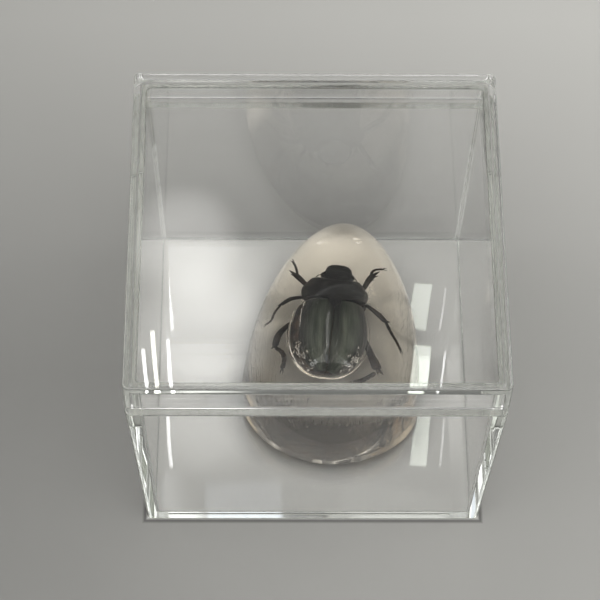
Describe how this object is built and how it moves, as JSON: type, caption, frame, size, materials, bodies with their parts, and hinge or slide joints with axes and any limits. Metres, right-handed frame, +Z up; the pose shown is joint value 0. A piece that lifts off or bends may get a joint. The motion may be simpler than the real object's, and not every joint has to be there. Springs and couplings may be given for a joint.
{
  "type": "insect in resin block",
  "caption": "Dark green chafer beetle cast in a clear, low-domed, egg-shaped resin block, resting loose in a clear square display box with a lift-off lid.",
  "frame": {"origin": "centre of the box's flat underside, which is the centre of the bottom of the bounding box", "axes": "+Z up through the lid, -Y the front, which the beetle's rear and the block's wide end point to; the beetle's head points to +Y"},
  "size_m": [0.0762, 0.0762, 0.0619],
  "materials": {
    "box_plastic": "clear polystyrene, polished, lightly scuffed",
    "casting_resin": "clear casting resin with a faint warm tint, polished, its underside scratched",
    "wing_case": "dark green chitin, satin, finely grooved",
    "shield": "black-green chitin, satin, finely pitted",
    "leg_chitin": "dark red-brown chitin, satin",
    "belly": "dark brown chitin with fine hair pits",
    "eye": "black, faceted, glossy",
    "trapped_air": "air film and bubbles in the resin, silvery at a glancing angle"
  },
  "bodies": {
    "root": {"box_base": "box_plastic", "box_lid": "box_plastic", "resin_block": "casting_resin"}
  },
  "joints": []
}
